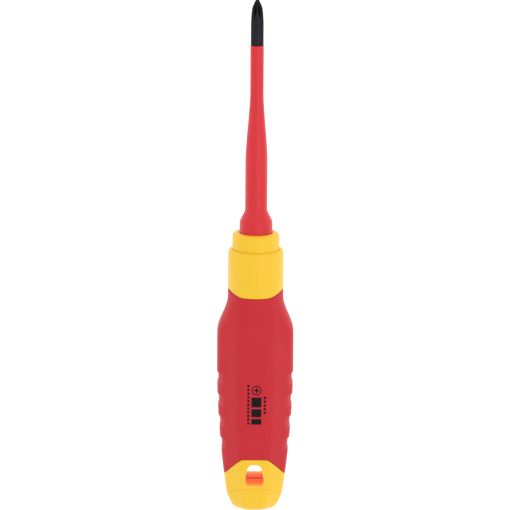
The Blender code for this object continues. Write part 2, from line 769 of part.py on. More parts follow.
def flute_cutter(index):
    """A square bar on edge: its lower edge starts near the axis at the tip and runs out at the surface."""
    slope = atan((TIP_RADIUS - TIP_FLUTE_START) / TIP_FLUTE_LENGTH)
    width = 2 * TIP_RADIUS
    length = 4 * TIP_FLUTE_LENGTH

    def build(shape):
        on_edge = Matrix.Rotation(pi / 4, 4, "Z")
        lifted = Matrix.Translation((width / sqrt(2), 0, 0))
        leaned = Matrix.Rotation(-slope, 4, "Y")
        started = Matrix.Translation((TIP_FLUTE_START, 0, 0))
        around = Matrix.Rotation(pi / 4 + index * pi / 2, 4, "Z")
        turn = around @ started @ leaned @ lifted @ on_edge
        bmesh.ops.create_cube(shape, size=1.0, matrix=turn @ Matrix.Diagonal((width, width, length, 1)))

    piece = place(f"flute_{index + 1}", mesh_of("flute", build), BLADE_AXIS, BLACKENED_STEEL, total_length)
    return as_cutter(piece)


def blade_insulation():
    """Red sleeve moulded on the blade: slim in front, thicker behind, and a flared foot."""
    hex_bore = HEX_FLATS / 2 * HEX_TO_CORNER + MOULD_GAP
    core_bore = CORE_RADIUS + MOULD_GAP
    slim_bore = SLIM_CORE_RADIUS + MOULD_GAP
    bore_step = foot_rear + HEX_IN_FOOT + MOULD_GAP
    profile = [
        (SLIM_RADIUS, bare_rear),
        (SLIM_RADIUS, slim_rear),
        (SLEEVED_RADIUS, sleeved_front),
        (SLEEVED_RADIUS, sleeved_rear),
    ]
    steps = 7
    for step in range(1, steps):
        share = step / steps
        swell = SLEEVED_RADIUS + (FOOT_RADIUS - SLEEVED_RADIUS) * smooth(share)
        profile.append((swell, sleeved_rear - FLARE_LENGTH * share))
    profile += [
        (FOOT_RADIUS, foot_front),
        (FOOT_RADIUS, foot_rear),
        (hex_bore, foot_rear),
        (hex_bore, bore_step),
        (core_bore, bore_step),
        (core_bore, sleeved_front + MOULD_GAP),
        (slim_bore, slim_rear + MOULD_GAP),
        (slim_bore, bare_rear),
    ]
    turned("blade_insulation", profile, BLADE_AXIS, RED_INSULATION)


handle_core()
grip_cover()
hex_socket()
socket_pin()
thrust_disc()
lock_clip()
retaining_ring()
spring_washer()
sleeve_spring()
release_sleeve()
cam_ring()
blade_shank()
blade_insulation()
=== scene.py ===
"""Looks of an insulated screwdriver with an exchangeable blade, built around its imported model.

The tool lies along X with its tip towards +X. A station is a distance along the axis from the rear
end of the handle, and an angle runs round the axis from 0 on the upper face to 90 degrees at +Y.
"""

from math import pi, radians

import bmesh
import bpy
import numpy as np
from mathutils import Matrix, Vector


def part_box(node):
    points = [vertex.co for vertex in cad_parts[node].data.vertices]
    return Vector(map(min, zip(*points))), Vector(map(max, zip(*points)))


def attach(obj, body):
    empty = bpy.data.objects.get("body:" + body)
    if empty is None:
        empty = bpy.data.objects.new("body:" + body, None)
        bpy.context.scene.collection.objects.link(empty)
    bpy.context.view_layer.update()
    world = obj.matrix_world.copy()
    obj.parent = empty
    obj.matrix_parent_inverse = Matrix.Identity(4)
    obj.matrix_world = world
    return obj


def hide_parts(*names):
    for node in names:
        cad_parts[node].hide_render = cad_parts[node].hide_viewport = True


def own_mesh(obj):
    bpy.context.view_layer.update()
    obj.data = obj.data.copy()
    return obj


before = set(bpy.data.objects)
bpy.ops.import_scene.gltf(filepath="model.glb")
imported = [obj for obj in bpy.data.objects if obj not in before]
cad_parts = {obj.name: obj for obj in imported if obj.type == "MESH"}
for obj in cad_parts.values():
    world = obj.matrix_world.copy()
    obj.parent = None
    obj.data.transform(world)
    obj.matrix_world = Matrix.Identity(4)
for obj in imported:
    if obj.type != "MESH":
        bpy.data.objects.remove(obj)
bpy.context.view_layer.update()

# --- The blade's steel ------------------------------------------------------------------------
# A bar of hardened tool steel, ground to a size 1 cross and blackened in a hot oxide bath. It runs
# slim under the red sleeve and ends in a hexagon, whose groove takes the legs of the lock clip.
MM = 0.001
REAR_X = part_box("handle_core")[0].x
AXIS_Z = (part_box("handle_core")[0].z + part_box("handle_core")[1].z) / 2
AROUND = 240  # points in a ring
FULL_TURN = np.arange(AROUND) * 2 * pi / AROUND
TIP_RADIUS = 2.3 * MM
TIP_TAPER = 9.2 * MM  # length of the stretch that narrows
TIP_BEVEL = 0.12 * MM
FLUTE_LENGTH = 8.0 * MM
FLUTE_START = 0.30 * MM  # axis to the bottom of a flute, at the end of the tip
FLUTE_POWER = 4.5
FLUTE_SHADE_START = 0.5 * MM  # depth down to which a flute gets no painted shade
FLUTE_SHADE_FULL = 1.1 * MM  # depth from which its painted shade is at its darkest
SLIM_CORE = 1.75 * MM
FULL_CORE = 2.50 * MM
CORE_SLIMS_AT = 20.9 * MM  # how far behind the sleeve's front edge it is slim
CORE_FULL_AT = 39.4 * MM  # and how far behind it is full again
HEX_FLAT = 3.0 * MM
HEX_CHAMFER = 0.6 * MM
HEX_IN_FOOT = 4.0 * MM
LOCK_GROOVE_RADIUS = 2.4 * MM
LOCK_GROOVE_HALF = 0.8 * MM
LOCK_GROOVE_SLOPE = 0.2 * MM
MOULD_GAP = 0.1 * MM  # between the steel and the sleeve moulded on it


def ends(node):
    """Stations of a node's rear and front."""
    low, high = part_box(node)
    return low.x - REAR_X, high.x - REAR_X


HEX_END, TIP_STATION = ends("blade_shank")
FOOT_REAR, SLEEVE_EDGE = ends("blade_insulation")
CLIP_STATION = sum(ends("lock_clip")) / 2


def on_axis(station, across, up):
    """Points of the tool from a station, a distance to the left and a distance up from the axis."""
    station, across, up = np.broadcast_arrays(station, across, up)
    return np.stack([REAR_X + station, across, AXIS_Z + up], axis=-1)


def round_the_axis(stations, reach, angles=FULL_TURN):
    """Rings of points: point j of ring i lies at stations[i, j], reach[i, j] out at angles[j]."""
    return on_axis(stations, reach * np.sin(angles), reach * np.cos(angles))


def level(stations, reach):
    """The two arrays of rings that each lie at one station: reach is one value or one per angle."""
    stations = np.reshape(stations, (-1, 1)) + 0 * FULL_TURN
    return stations, np.broadcast_to(reach, stations.shape)


def put(name, mesh, sharp):
    """A new object at the origin, smooth except at edges sharper than an angle."""
    mesh.shade_smooth()
    mesh.set_sharp_from_angle(angle=radians(sharp))
    piece = bpy.data.objects.new(name, mesh)
    bpy.context.scene.collection.objects.link(piece)
    return piece


def skin(name, rings, ring_of_rings=False, sharp=40):
    """A closed surface over rings[i, j]: quad (i, j) joins points j and j + 1 of rings i and i + 1.

    The last ring closes on the first, or else both end rings close on their middle points.
    """
    count, around = rings.shape[:2]
    index = np.arange(count * around).reshape(count, around)
    after = np.roll(index, -1, axis=0)
    quads = np.stack(
        [index, np.roll(index, -1, axis=1), np.roll(after, -1, axis=1), after], axis=-1
    )
    points = rings.reshape(-1, 3)
    if ring_of_rings:
        faces = quads.reshape(-1, 4).tolist()
    else:
        points = np.vstack([points, rings[0].mean(axis=0), rings[-1].mean(axis=0)])
        faces = quads[:-1].reshape(-1, 4).tolist()
        for edge, middle in ((index[0], count * around), (index[-1], count * around + 1)):
            fan = np.stack([edge, np.roll(edge, -1), np.full(around, middle)], axis=-1)
            faces += fan.tolist()
    mesh = bpy.data.meshes.new(name)
    mesh.from_pydata(points, [], faces)
    shape = bmesh.new()
    shape.from_mesh(mesh)
    bmesh.ops.recalc_face_normals(shape, faces=shape.faces)
    shape.to_mesh(mesh)
    shape.free()
    return put(name, mesh, sharp)


def linear(code):
    """The linear colour of an sRGB hex code: ((c + 0.055) / 1.055) ^ 2.4, or c / 12.92 when it is
    dark."""
    parts = np.array([int(code[i : i + 2], 16) for i in (1, 3, 5)]) / 255
    bent = np.where(parts <= 0.04045, parts / 12.92, ((parts + 0.055) / 1.055) ** 2.4)
    return (*bent.tolist(), 1.0)


def add(tree, kind, settings, values):
    """Adds a node: settings are its own, and values are constants or sockets for its inputs."""
    made = tree.nodes.new(kind)
    for key, value in settings.items():
        setattr(made, key, value)
    for key, value in values.items():
        if isinstance(value, bpy.types.NodeSocket):
            tree.links.new(value, made.inputs[key])
        else:
            made.inputs[key].default_value = value
    return made


def finish(name, grain, tones, depth, **values):
    """A material whose colour drifts between two tones and whose skin is rough by a fine grain.

    grain holds the lengths in millimetres along X, Y and Z of the grain, and depth its height in
    millimetres. The tones drift over forty times those lengths. values go to the shader's sockets.
    """
    material = bpy.data.materials.new(name)
    material.use_nodes = True
    tree = material.node_tree
    shader = tree.nodes["Principled BSDF"]
    for key, value in values.items():
        shader.inputs[key.replace("_", " ")].default_value = value
    where = add(tree, "ShaderNodeTexCoord", {}, {}).outputs["Object"]
    fine = add(tree, "ShaderNodeMapping", {},
               {"Vector": where, "Scale": [1 / (length * MM) for length in grain]})
    grains = add(tree, "ShaderNodeTexNoise", {},
                 {"Vector": fine.outputs[0], "Scale": 1.0, "Detail": 3.0})
    wide = add(tree, "ShaderNodeMapping", {}, {"Vector": fine.outputs[0], "Scale": [1 / 40] * 3})
    drift = add(tree, "ShaderNodeTexNoise", {},
                {"Vector": wide.outputs[0], "Scale": 1.0, "Detail": 2.0})
    tone = add(tree, "ShaderNodeMix", {"data_type": "RGBA"},
               {0: drift.outputs[0], 6: linear(tones[0]), 7: linear(tones[1])})
    tree.links.new(tone.outputs[2], shader.inputs["Base Color"])
    bump = add(tree, "ShaderNodeBump", {},
               {"Strength": 1.0, "Distance": depth * MM, "Height": grains.outputs[0]})
    tree.links.new(bump.outputs[0], shader.inputs["Normal"])
    return material, tree, shader


def blackened_steel():
    """Black oxide on ground tool steel: near black and satin, with grinding lines 0.15 mm apart
    round the shaft. The flutes are painted darker with their depth: painted shade in the recesses."""
    material, tree, shader = finish(
        "black_oxide_tool_steel", (0.15, 2.5, 2.5), ("#222127", "#2E2D33"), 0.004,
        Metallic=0.75, Roughness=0.42, Specular_Tint=(0.35, 0.35, 0.37, 1),
    )
    tone = shader.inputs["Base Color"].links[0].from_socket
    # Painted shade: the flutes darken towards near black with their depth, where shade falls in the
    # recesses.
    flute_shade_mask = add(tree, "ShaderNodeAttribute", {"attribute_name": "flute"}, {})
    dark = add(tree, "ShaderNodeMix", {"data_type": "RGBA"},
               {0: flute_shade_mask.outputs["Fac"], 6: tone, 7: linear("#0B0B0E")})
    tree.links.new(dark.outputs[2], shader.inputs["Base Color"])
    return material


def hexagon(flat):
    """Distance to a hexagon with a flat on top: flat / cos(angle to the nearest flat's middle)."""
    sector = pi / 3
    return flat / np.cos((FULL_TURN + sector / 2) % sector - sector / 2)


def tip_reach(stations):
    """Distance from the axis to the ground tip, and how much painted shade its flutes get, from 0
    to 1.

    The tip is a cone with a rounded shoulder and a small point. In each of its four flutes it is
    cut down to bottom / (cos d - sin d), d being the angle from the flute's middle, and the bottom
    rises from the end of the tip by a power of the distance. A flute's painted shade grows evenly
    between two depths.
    """
    back = TIP_STATION - stations[:, None]
    cone_back = np.array([0, 0.45, 1.1, 2.2, 3.3, 4.4, 5.5, 6.7, 7.8]) * MM
    cone_radius = np.array([0.20, 0.55, 0.90, 1.40, 1.82, 1.99, 2.10, 2.18, 2.25]) * MM
    cone_back = np.append(cone_back, TIP_TAPER)
    cone_radius = np.append(cone_radius, TIP_RADIUS)
    cone = np.interp(back, cone_back, cone_radius)
    rise = np.clip(back / FLUTE_LENGTH, 0, 1) ** FLUTE_POWER
    bottom = FLUTE_START + (TIP_RADIUS - FLUTE_START) * rise
    from_flute = np.abs(FULL_TURN % (pi / 2) - pi / 4)
    opening = np.maximum(np.cos(from_flute) - np.sin(from_flute), 1e-3)
    reach = np.minimum(cone, bottom / opening)
    return reach, np.clip((cone - reach - FLUTE_SHADE_START) / (FLUTE_SHADE_FULL - FLUTE_SHADE_START), 0, 1)


tip_stations = np.linspace(TIP_STATION - TIP_TAPER, TIP_STATION, 150)
ground_tip, flute_shade = tip_reach(tip_stations)
groove_rear, groove_front = CLIP_STATION - LOCK_GROOVE_HALF, CLIP_STATION + LOCK_GROOVE_HALF
groove_floor = [groove_rear + LOCK_GROOVE_SLOPE, groove_front - LOCK_GROOVE_SLOPE]
bare_rear = SLEEVE_EDGE + MOULD_GAP
bands = [
    level(HEX_END, hexagon(HEX_FLAT - HEX_CHAMFER)),
    level([HEX_END + HEX_CHAMFER, groove_rear], hexagon(HEX_FLAT)),
    level(groove_floor, LOCK_GROOVE_RADIUS),
    level([groove_front, FOOT_REAR + HEX_IN_FOOT], hexagon(HEX_FLAT)),
    level([FOOT_REAR + HEX_IN_FOOT, SLEEVE_EDGE - CORE_FULL_AT], FULL_CORE),
    level([SLEEVE_EDGE - CORE_SLIMS_AT, bare_rear], SLIM_CORE),
    level(bare_rear, TIP_RADIUS - TIP_BEVEL),
    level(bare_rear + TIP_BEVEL, TIP_RADIUS),
    (tip_stations[:, None] + 0 * FULL_TURN, ground_tip),
]
shank = skin("blade_steel", round_the_axis(*map(np.vstack, zip(*bands))), sharp=32)
# The flutes' painted shade is stored on the points as the flute attribute.
flute = shank.data.attributes.new("flute", "FLOAT", "POINT")
hidden_rings = sum(len(band[0]) for band in bands[:-1])
flute_shade_values = np.zeros(len(shank.data.vertices))
first_flute = hidden_rings * AROUND
flute_shade_values[first_flute : first_flute + flute_shade.size] = flute_shade.ravel()
flute.data.foreach_set("value", flute_shade_values)
shank.data.materials.append(blackened_steel())
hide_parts("blade_shank")
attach(shank, "blade")

# --- The blade's insulation -------------------------------------------------------------------
# Tough red polypropylene, moulded straight on the steel: slim in front so that it enters deep
# terminals, thicker behind, with a flared foot that closes the mouth of the handle.
SLIM_RADIUS = 2.42 * MM
SLEEVED_RADIUS = 3.98 * MM
FOOT_RADIUS = 5.9 * MM
FOOT_FRONT = FOOT_REAR + 12.2 * MM
FLARE_FRONT = FOOT_FRONT + 5.3 * MM
TAPER_FRONT = SLEEVE_EDGE - 18.2 * MM
TAPER_REAR = SLEEVE_EDGE - 41.9 * MM
TAPER_EVEN = 0.41  # share of the taper that is straight; the rest is eased
FOOT_EDGE = 0.3 * MM
FRONT_EDGE = 0.12 * MM
HEX_BORE = 3.62 * MM  # clears the hexagon's corners
HEX_BORE_SPARE = 0.15 * MM


def eased(share):
    """0 to 1 with level ends: s^2 (3 - 2 s)."""
    share = np.clip(share, 0, 1)
    return share * share * (3 - 2 * share)


def bend(radius, station, size, start, end, steps=6):
    """(radius, station) points of an arc round the centre that the first two values give. At 0
    degrees the arc is outside its centre, and at 90 degrees in front of it."""
    turn = np.radians(np.linspace(start, end, steps + 1))
    return np.stack([radius + size * np.cos(turn), station + size * np.sin(turn)], axis=1)


def turned(name, *profile, solid=False, sharp=40):
    """A turned piece from (radius, station) points, which close on each other or, if the piece is
    solid, on the axis."""
    points = np.vstack(profile)
    return skin(name, round_the_axis(*level(points[:, 1], points[:, :1])), not solid, sharp)


taper = np.linspace(1, 0, 30)
widening = TAPER_EVEN * taper + (1 - TAPER_EVEN) * eased(taper)
flare = np.linspace(1, 0, 22)
hex_bore_front = FOOT_REAR + HEX_IN_FOOT + HEX_BORE_SPARE
sleeve = turned(
    "blade_sleeve",
    bend(FOOT_RADIUS - FOOT_EDGE, FOOT_REAR + FOOT_EDGE, FOOT_EDGE, -90, 0),
    np.stack([SLEEVED_RADIUS + (FOOT_RADIUS - SLEEVED_RADIUS) * eased(flare),
              FLARE_FRONT + (FOOT_FRONT - FLARE_FRONT) * flare], axis=1),
    np.stack([SLIM_RADIUS + (SLEEVED_RADIUS - SLIM_RADIUS) * widening,
              TAPER_FRONT + (TAPER_REAR - TAPER_FRONT) * taper], axis=1),
    bend(SLIM_RADIUS - FRONT_EDGE, SLEEVE_EDGE - FRONT_EDGE, FRONT_EDGE, 0, 90),
    [(SLIM_CORE + MOULD_GAP, SLEEVE_EDGE),
     (SLIM_CORE + MOULD_GAP, SLEEVE_EDGE - CORE_SLIMS_AT + MOULD_GAP),
     (FULL_CORE + MOULD_GAP, SLEEVE_EDGE - CORE_FULL_AT + MOULD_GAP),
     (FULL_CORE + MOULD_GAP, hex_bore_front), (HEX_BORE, hex_bore_front), (HEX_BORE, FOOT_REAR)],
)
# Moulded polypropylene: clear red with a soft gloss. It flows along the blade, so its faint
# streaks are ten times longer than wide.
sleeve.data.materials.append(
    finish("moulded_red_polypropylene", (4.0, 0.4, 0.4), ("#D0202B", "#D82732"), 0.006,
           Roughness=0.36, IOR=1.49, Specular_IOR_Level=0.4)[0]
)
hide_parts("blade_insulation")
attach(sleeve, "blade")

# --- The socket -------------------------------------------------------------------------------
# A turned steel bush with a broached hexagon, fixed in the handle. Two slots let the clip's legs
# through to the blade, and the groove in front takes the split ring.
PLAY = 0.3 * MM  # between pieces that slide on each other
SNUG = 0.15 * MM  # between pieces that rest against each other
PIN_ROOM = 0.1 * MM
CUT_REACH = 8 * MM  # past the outside of the bush
CUT_CHAMFER = 0.01 * MM
SOCKET_RADIUS = 5.2 * MM
SOCKET_FLAT = HEX_FLAT + PLAY
CLIP_GROOVE_DEPTH = 1.0 * MM
RING_GROOVE_DEPTH = 0.7 * MM
SOCKET_REAR, SOCKET_FRONT = ends("hex_socket")
DISC_REAR, DISC_FRONT = ends("thrust_disc")
PIN_REAR, PIN_FRONT = ends("socket_pin")
PIN_RADIUS = (PIN_FRONT - PIN_REAR) / 2
PIN_STATION = (PIN_FRONT + PIN_REAR) / 2
RING_REAR, RING_FRONT = ends("retaining_ring")
CLIP_REAR, CLIP_FRONT = ends("lock_clip")
CLIP_WIRE = (CLIP_FRONT - CLIP_REAR) / 2
CHAMFER = 0.25 * MM


def cross_pin(name, radius, half_length, chamfer):
    """A pin across the tool at the pin's station: upright rings of 64 points, with both ends
    chamfered."""
    turn = np.arange(64) * 2 * pi / 64
    short = half_length - chamfer
    across = np.array([-half_length, -short, short, half_length])[:, None]
    size = np.array([radius - chamfer, radius, radius, radius - chamfer])[:, None]
    return skin(name, on_axis(PIN_STATION + size * np.cos(turn), across, size * np.sin(turn)))


def block(name, rear, front, half_width, low, high):
    """A block of six faces between two stations."""
    across = np.array([-1, 1, 1, -1]) * half_width
    up = np.array([low, low, high, high])
    return skin(name, on_axis(np.array([[rear], [front]]), across, up))


def cut_away(piece, cutters, sharp):
    """Takes the cutters' shapes out of a piece, and removes the cutters."""
    for cutter in cutters:
        step = piece.modifiers.new(cutter.name, "BOOLEAN")
        step.operation = "DIFFERENCE"
        step.solver = "EXACT"
        step.object = cutter
    bpy.context.view_layer.update()
    whole = piece.evaluated_get(bpy.context.evaluated_depsgraph_get())
    mesh = bpy.data.meshes.new_from_object(whole)
    piece.modifiers.clear()
    piece.data = mesh
    mesh.shade_smooth()
    mesh.set_sharp_from_angle(angle=radians(sharp))
    for cutter in cutters:
        bpy.data.objects.remove(cutter)


slot_rear, slot_front = CLIP_STATION - (CLIP_WIRE + PLAY), CLIP_STATION + (CLIP_WIRE + PLAY)
bands = [
    level(SOCKET_REAR, SOCKET_RADIUS - CHAMFER),
    level([SOCKET_REAR + CHAMFER, slot_rear], SOCKET_RADIUS),
    level([slot_rear, slot_front], SOCKET_RADIUS - CLIP_GROOVE_DEPTH),
    level([slot_front, RING_REAR - SNUG], SOCKET_RADIUS),
    level([RING_REAR - SNUG, RING_FRONT + SNUG], SOCKET_RADIUS - RING_GROOVE_DEPTH),
    level([RING_FRONT + SNUG, SOCKET_FRONT - CHAMFER], SOCKET_RADIUS),
    level(SOCKET_FRONT, SOCKET_RADIUS - CHAMFER),
    level(SOCKET_FRONT, hexagon(SOCKET_FLAT + CHAMFER)),
    level([SOCKET_FRONT - CHAMFER, DISC_REAR - PLAY], hexagon(SOCKET_FLAT)),
]
socket = skin("socket_bush", round_the_axis(*map(np.vstack, zip(*bands))))
cut_away(socket, [
    block("upper_slot", slot_rear, slot_front, CUT_REACH, LOCK_GROOVE_RADIUS, CUT_REACH),
    block("lower_slot", slot_rear, slot_front, CUT_REACH, -CUT_REACH, -LOCK_GROOVE_RADIUS),
    cross_pin("pin_hole", PIN_RADIUS + PIN_ROOM, CUT_REACH, CUT_CHAMFER),
], 40)
# Free-cutting steel, turned: bright, with feed marks 0.12 mm apart round the axis.
TURNED_STEEL = finish("turned_steel", (0.12, 3.0, 3.0), ("#A9A9AB", "#BDBDBE"), 0.004,
                      Metallic=1.0, Roughness=0.30)[0]
socket.data.materials.append(TURNED_STEEL)
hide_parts("hex_socket")
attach(socket, "handle")

# --- The thrust disc and the socket's pin -----------------------------------------------------
# A hardened disc takes the push of the blade at the bottom of the socket. A dowel pin is pressed
# across the socket and the handle's core, and keeps the socket from turning.
disc = turned("thrust_pad", [
    (HEX_FLAT - CHAMFER, DISC_REAR), (HEX_FLAT, DISC_REAR + CHAMFER),
    (HEX_FLAT, DISC_FRONT - CHAMFER), (HEX_FLAT - CHAMFER, DISC_FRONT),
], solid=True)
disc.data.materials.append(TURNED_STEEL)
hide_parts("thrust_disc")
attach(disc, "handle")

PIN_CHAMFER = 0.3 * MM
pin = cross_pin("dowel_pin", PIN_RADIUS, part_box("socket_pin")[1].y, PIN_CHAMFER)
pin.data.materials.append(TURNED_STEEL)
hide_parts("socket_pin")
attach(pin, "handle")

# --- The lock clip ----------------------------------------------------------------------------
# A hairpin of spring wire round the socket. Its two straight legs lie in the blade's groove and
# snap apart when the blade is pulled with the release ring back.
LEG_HEIGHT = LOCK_GROOVE_RADIUS + SNUG + CLIP_WIRE
BOW_RADIUS = SOCKET_RADIUS - CLIP_GROOVE_DEPTH + SNUG + CLIP_WIRE
LEG_SHARE = 0.9  # how far the free ends of the legs run, as a share of the bow's reach


def wire(name, path, radius, normal):
    """A round wire along a path: at each point a circle of 16 points square to the path, turned by
    a fixed normal, and a rounded cap of three shrinking circles at either end."""
    along = np.gradient(path, axis=0)
    along /= np.linalg.norm(along, axis=1, keepdims=True)
    cap = np.radians([80, 50, 20])
    path = np.vstack([path[0] - along[0] * radius * np.sin(cap)[:, None], path,
                      path[-1] + along[-1] * radius * np.sin(cap[::-1])[:, None]])
    along = np.vstack([along[:1].repeat(3, axis=0), along, along[-1:].repeat(3, axis=0)])
    even = np.ones(len(path) - 2 * len(cap))
    size = np.concatenate([np.cos(cap), even, np.cos(cap[::-1])]) * radius
    first = np.cross(along, normal)
    first /= np.linalg.norm(first, axis=1, keepdims=True)
    second = np.cross(along, first)
    turn = (np.arange(16) * 2 * pi / 16)[None, :, None]
    circles = first[:, None] * np.cos(turn) + second[:, None] * np.sin(turn)
    return skin(name, path[:, None] + circles * size[:, None, None], sharp=60)


leg_reach = np.sqrt(BOW_RADIUS**2 - LEG_HEIGHT**2)
bow_start = np.arctan2(LEG_HEIGHT, -leg_reach)
bow = np.linspace(bow_start, 2 * pi - bow_start, 60)
leg = np.linspace(LEG_SHARE * leg_reach, -leg_reach, 14)[:-1]
clip_across = np.concatenate([leg, BOW_RADIUS * np.cos(bow), leg[::-1]])
clip_up = np.concatenate([leg * 0 + LEG_HEIGHT, BOW_RADIUS * np.sin(bow), leg * 0 - LEG_HEIGHT])
clip = wire("clip_wire", on_axis(CLIP_STATION, clip_across, clip_up), CLIP_WIRE, (1, 0, 0))
# Music wire: drawn, so its fine lines run along it, and slightly darker than turned steel.
SPRING_WIRE = finish("drawn_spring_wire", (0.4, 0.1, 0.4), ("#86868A", "#9C9CA0"), 0.003,
                     Metallic=1.0, Roughness=0.28)[0]
clip.data.materials.append(SPRING_WIRE)
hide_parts("lock_clip")
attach(clip, "handle")

# --- The sleeve's spring and its washer -------------------------------------------------------
# A compression spring with closed ends pushes the release ring forward. Behind it a punched
# washer keeps its end turn out of the plastic.
WASHER_REAR, WASHER_FRONT = ends("spring_washer")
SPRING_REAR, SPRING_FRONT = ends("sleeve_spring")
SPRING_LENGTH = SPRING_FRONT - SPRING_REAR
SPRING_MIDDLE = 6.25 * MM  # axis to the middle of the wire
SPRING_WIRE_RADIUS = 0.4 * MM
COIL_TURNS = 6.5
CLOSED_TURNS = 0.9  # at each end, where the wire hardly rises
CLOSED_RISE = 0.75 / 8.7  # as a share of the whole rise
coil_turns = np.linspace(0, COIL_TURNS, 313)
coil_rise = np.interp(coil_turns, [0, CLOSED_TURNS, COIL_TURNS - CLOSED_TURNS, COIL_TURNS],
                      [0, CLOSED_RISE, 1 - CLOSED_RISE, 1])
coil_length = SPRING_LENGTH - 2 * SPRING_WIRE_RADIUS
coil_station = SPRING_REAR + SPRING_WIRE_RADIUS + coil_rise * coil_length
coil_path = on_axis(coil_station, SPRING_MIDDLE * np.cos(2 * pi * coil_turns),
                    SPRING_MIDDLE * np.sin(2 * pi * coil_turns))
coil = wire("coil_spring", coil_path, SPRING_WIRE_RADIUS, (1, 0, 0))
coil.data.materials.append(SPRING_WIRE)
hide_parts("sleeve_spring")
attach(coil, "handle")
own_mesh(coil)


def bevelled(inner, outer, rear, front, bevel=0.12 * MM):
    """The (radius, station) points of a flat ring with bevelled edges."""
    return np.array([
        (inner, rear + bevel), (inner + bevel, rear), (outer - bevel, rear), (outer, rear + bevel),
        (outer, front - bevel), (outer - bevel, front), (inner + bevel, front),
        (inner, front - bevel),
    ])


WASHER_RADIUS = 7.0 * MM
washer = turned(
    "punched_washer", bevelled(SOCKET_RADIUS + PLAY, WASHER_RADIUS, WASHER_REAR, WASHER_FRONT)
)
washer.data.materials.append(TURNED_STEEL)
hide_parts("spring_washer")
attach(washer, "handle")

# --- The cam and the split ring ---------------------------------------------------------------
# The turned cam is pressed into the release ring. Its narrow bore holds the clip shut, and its
# wide bore lets it spread. The split ring snaps into the socket and keeps cam and sleeve in.
CAM_REAR, CAM_FRONT = ends("cam_ring")
CAM_BORE = SOCKET_RADIUS + PLAY
CAM_OPEN = CAM_BORE + 0.8 * MM
CAM_RADIUS = 7.0 * MM
CAM_TIGHT = 2.0 * MM  # length of the narrow bore
CAM_SLOPE = 0.8 * MM  # length of the cone between the bores
cam = turned("clip_cam", [
    (CAM_BORE + CHAMFER, CAM_REAR), (CAM_RADIUS - CHAMFER, CAM_REAR),
    (CAM_RADIUS, CAM_REAR + CHAMFER), (CAM_RADIUS, CAM_FRONT - CHAMFER),
    (CAM_RADIUS - CHAMFER, CAM_FRONT), (CAM_OPEN, CAM_FRONT),
    (CAM_OPEN, CAM_REAR + CAM_TIGHT + CAM_SLOPE), (CAM_BORE, CAM_REAR + CAM_TIGHT),
    (CAM_BORE, CAM_REAR + CHAMFER),
], sharp=30)
cam.data.materials.append(TURNED_STEEL)
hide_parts("cam_ring")
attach(cam, "sleeve")

RING_SPLIT = 50  # degrees
RING_SEAT = 0.4 * MM  # how deep the ring sits in its groove
RING_LAP = 0.5 * MM  # how far it stands in front of the cam
split_turn = np.radians(np.linspace(RING_SPLIT / 2, 360 - RING_SPLIT / 2, 160))[:, None]
split_reach, split_station = bevelled(
    SOCKET_RADIUS - RING_SEAT, CAM_OPEN + RING_LAP, RING_REAR, RING_FRONT
).T
split = skin("split_ring", on_axis(split_station, split_reach * np.sin(split_turn),
                                   -split_reach * np.cos(split_turn)))
split.data.materials.append(SPRING_WIRE)
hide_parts("retaining_ring")
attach(split, "handle")

# --- The release ring -------------------------------------------------------------------------
# A short yellow sleeve moulded in hard nylon. It shows in front of the collar and slides back
# into it against the spring, which shifts the cam off the clip.
SLEEVE_REAR, SLEEVE_FRONT = ends("release_sleeve")
SLEEVE_RADIUS = 8.5 * MM
FINE_GAP = 0.05 * MM  # between the ring, the blade's foot and the collar
MOUTH = FOOT_RADIUS + FINE_GAP
MOUTH_LENGTH = 9.8 * MM  # of the bore round the blade's foot
CHAMBER_RADIUS = 7.3 * MM  # round the cam and the spring
NOSE_WIDTH, NOSE_LENGTH = 2.2 * MM, 1.3 * MM  # of the ellipse that rounds the front edge
RING_EDGE = 0.3 * MM
nose = np.radians(np.linspace(0, 90, 15))
mouth_rear = SLEEVE_FRONT - MOUTH_LENGTH
release = turned(
    "release_ring",
    np.stack([SLEEVE_RADIUS - NOSE_WIDTH * (1 - np.cos(nose)),
              SLEEVE_FRONT - NOSE_LENGTH * (1 - np.sin(nose))], axis=1),
    bend(MOUTH + RING_EDGE, SLEEVE_FRONT - RING_EDGE, RING_EDGE, 90, 180),
    [(MOUTH, mouth_rear), (CHAMBER_RADIUS, mouth_rear), (CHAMBER_RADIUS, SLEEVE_REAR)],
    bend(SLEEVE_RADIUS - RING_EDGE, SLEEVE_REAR + RING_EDGE, RING_EDGE, -90, 0),
)
# Glass-filled nylon, moulded in a lightly eroded tool: a half-gloss signal yellow.
YELLOW_NYLON = finish("moulded_yellow_nylon", (0.5, 0.5, 0.5), ("#EFBF1C", "#F2C422"), 0.006,
                      Roughness=0.36, IOR=1.53, Specular_IOR_Level=0.4)[0]
release.data.materials.append(YELLOW_NYLON)
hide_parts("release_sleeve")
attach(release, "sleeve")

# --- The handle's core ------------------------------------------------------------------------
# One shot of the same nylon: a round collar in front, an eight-sided end cap with a hanging hole
# behind, and a spine between them that the red grip is moulded over.
COLLAR_FRONT = ends("handle_core")[1]
COLLAR_RADIUS = 10.0 * MM
COLLAR_BORE = SLEEVE_RADIUS + FINE_GAP
COLLAR_LENGTH = 14.7 * MM  # at the sides
COLLAR_DIP = 1.8 * MM  # how much longer it is on the upper and lower faces
DIP_FROM = 0.55  # share of the half width where its edge starts to curve forward
COLLAR_LIP = 1.3 * MM
MOUTH_EDGE = 0.1 * MM
SLEEVE_CHAMBER = 13.7 * MM  # depth of the bore that the release ring slides in
SPRING_CHAMBER = 10.0 * MM  # and of the one behind it
BELLY_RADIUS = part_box("grip_cover")[1].y
BELLY_LENGTH = 11.0 * MM
GRIP_FRONT = COLLAR_FRONT - COLLAR_LENGTH - COLLAR_DIP
NECK_FRONT = GRIP_FRONT - 0.9 * MM
NECK_LENGTH = 13.9 * MM
NECK_CORE = 8.65 * MM
BELLY_REAR = NECK_FRONT - NECK_LENGTH - BELLY_LENGTH
TAPER_POWER = 1.86
SPINE_RADIUS = 9.3 * MM
